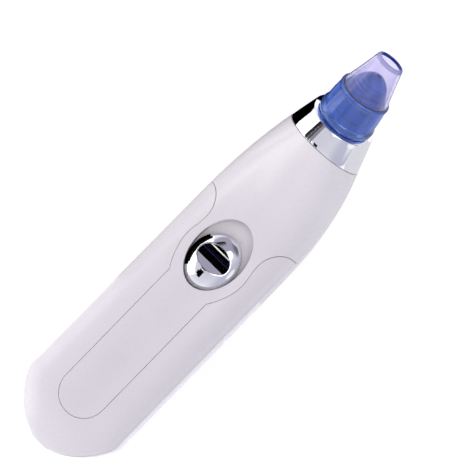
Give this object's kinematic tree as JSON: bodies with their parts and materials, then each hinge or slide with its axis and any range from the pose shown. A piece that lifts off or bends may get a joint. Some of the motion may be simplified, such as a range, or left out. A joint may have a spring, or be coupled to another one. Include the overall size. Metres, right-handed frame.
{
  "type": "blackhead vacuum extractor",
  "caption": "Handheld pore vacuum: bent pearl housing with sliding chrome switch, chrome collar, clear blue pull-off suction head, battery bay, motor and diaphragm pump.",
  "frame": {"origin": "under the middle of the overall length, on the plane that the back rests on", "axes": "+X from the rounded bottom end to the suction mouth, +Z out of the switch face, +Y across"},
  "size_m": [0.1822, 0.0434, 0.068],
  "materials": {
    "pearl_shell": "pearl gloss, moulded",
    "chrome_trim": "plated mirror",
    "blue_clear": "clear blue moulded plastic",
    "deep_blue_clear": "clear deep blue moulded plastic",
    "pale_clear": "clear faintly blue moulded plastic",
    "white_plastic": "satin moulded",
    "grey_plastic": "satin moulded",
    "black_plastic": "satin moulded",
    "filter_foam": "open foam",
    "black_rubber": "matte",
    "silicone": "translucent satin",
    "zinc_steel": "zinc plated",
    "polished_steel": "ground",
    "motor_steel": "drawn",
    "core_steel": "laminated",
    "ferrite": "ground ferrite",
    "copper": "bare copper",
    "enamelled_copper": "lacquered wire",
    "bronze": "sintered",
    "nickel_plate": "nickel plated",
    "cell_jacket": "printed sleeve, no marks",
    "board_green": "solder mask",
    "component_tan": "lacquered",
    "red_wire": "PVC",
    "black_wire": "PVC"
  },
  "bodies": {
    "handle": {"front_housing": "pearl_shell", "rear_housing": "pearl_shell", "nozzle_collar": "chrome_trim", "nozzle_port": "white_plastic", "pump_cover": "white_plastic", "pump_base": "white_plastic", "motor_end_cap": "white_plastic", "battery_box": "grey_plastic", "pump_valve_plate": "grey_plastic", "filter_sponge": "filter_foam", "port_seal_ring": "black_rubber", "pump_diaphragm": "black_rubber", "pump_valve_flaps": "black_rubber", "air_tube": "silicone", "housing_screws": "zinc_steel", "motor_screws": "zinc_steel", "pump_screws": "zinc_steel", "board_screws": "zinc_steel", "slide_switch_body": "zinc_steel", "motor_can": "motor_steel", "motor_magnets": "ferrite", "motor_brushes": "copper", "motor_bushings": "bronze", "contact_plates": "nickel_plate", "battery_springs": "nickel_plate", "battery_cell_1": "cell_jacket", "battery_cell_2": "cell_jacket", "battery_cell_3": "cell_jacket", "battery_cell_4": "cell_jacket", "circuit_board": "board_green", "board_components": "component_tan", "battery_wire_positive": "red_wire", "motor_wire_positive": "red_wire", "battery_wire_negative": "black_wire", "motor_wire_negative": "black_wire"},
    "battery_cover": {"battery_cover": "pearl_shell"},
    "switch_slider": {"switch_button": "chrome_trim", "switch_slide_plate": "grey_plastic", "slide_switch_lever": "black_plastic"},
    "suction_head": {"suction_head": "blue_clear", "head_inner_cone": "deep_blue_clear", "head_hood": "pale_clear"},
    "motor_rotor": {"motor_shaft": "polished_steel", "rotor_core": "core_steel", "rotor_windings": "enamelled_copper", "commutator": "copper", "pump_eccentric": "black_plastic", "crank_pin": "polished_steel"},
    "wobble_frame": {"wobble_frame": "black_plastic"}
  },
  "joints": [
    {"name": "cover_slide", "type": "slide", "parent": "handle", "child": "battery_cover", "axis": [-1, 0, 0], "range_m": [0, 0.1]},
    {"name": "switch_slide", "type": "slide", "parent": "handle", "child": "switch_slider", "axis": [1, 0, 0], "range_m": [0, 0.0055]},
    {"name": "head_pull_off", "type": "slide", "parent": "handle", "child": "suction_head", "axis": [0.8192, 0, 0.5736], "range_m": [0, 0.03]},
    {"name": "rotor_spin", "type": "hinge", "parent": "handle", "child": "motor_rotor", "pos_m": [-0.00108, 0, 0.0187], "axis": [1, 0, 0], "continuous": true},
    {"name": "wobble_spin", "type": "hinge", "parent": "motor_rotor", "child": "wobble_frame", "pos_m": [0.01792, 0, 0.0187], "axis": [0.9945, 0, 0.1045], "continuous": true}
  ],
  "couplings": [
    {"joint": "wobble_spin", "follows": "rotor_spin", "ratio": -1}
  ]
}
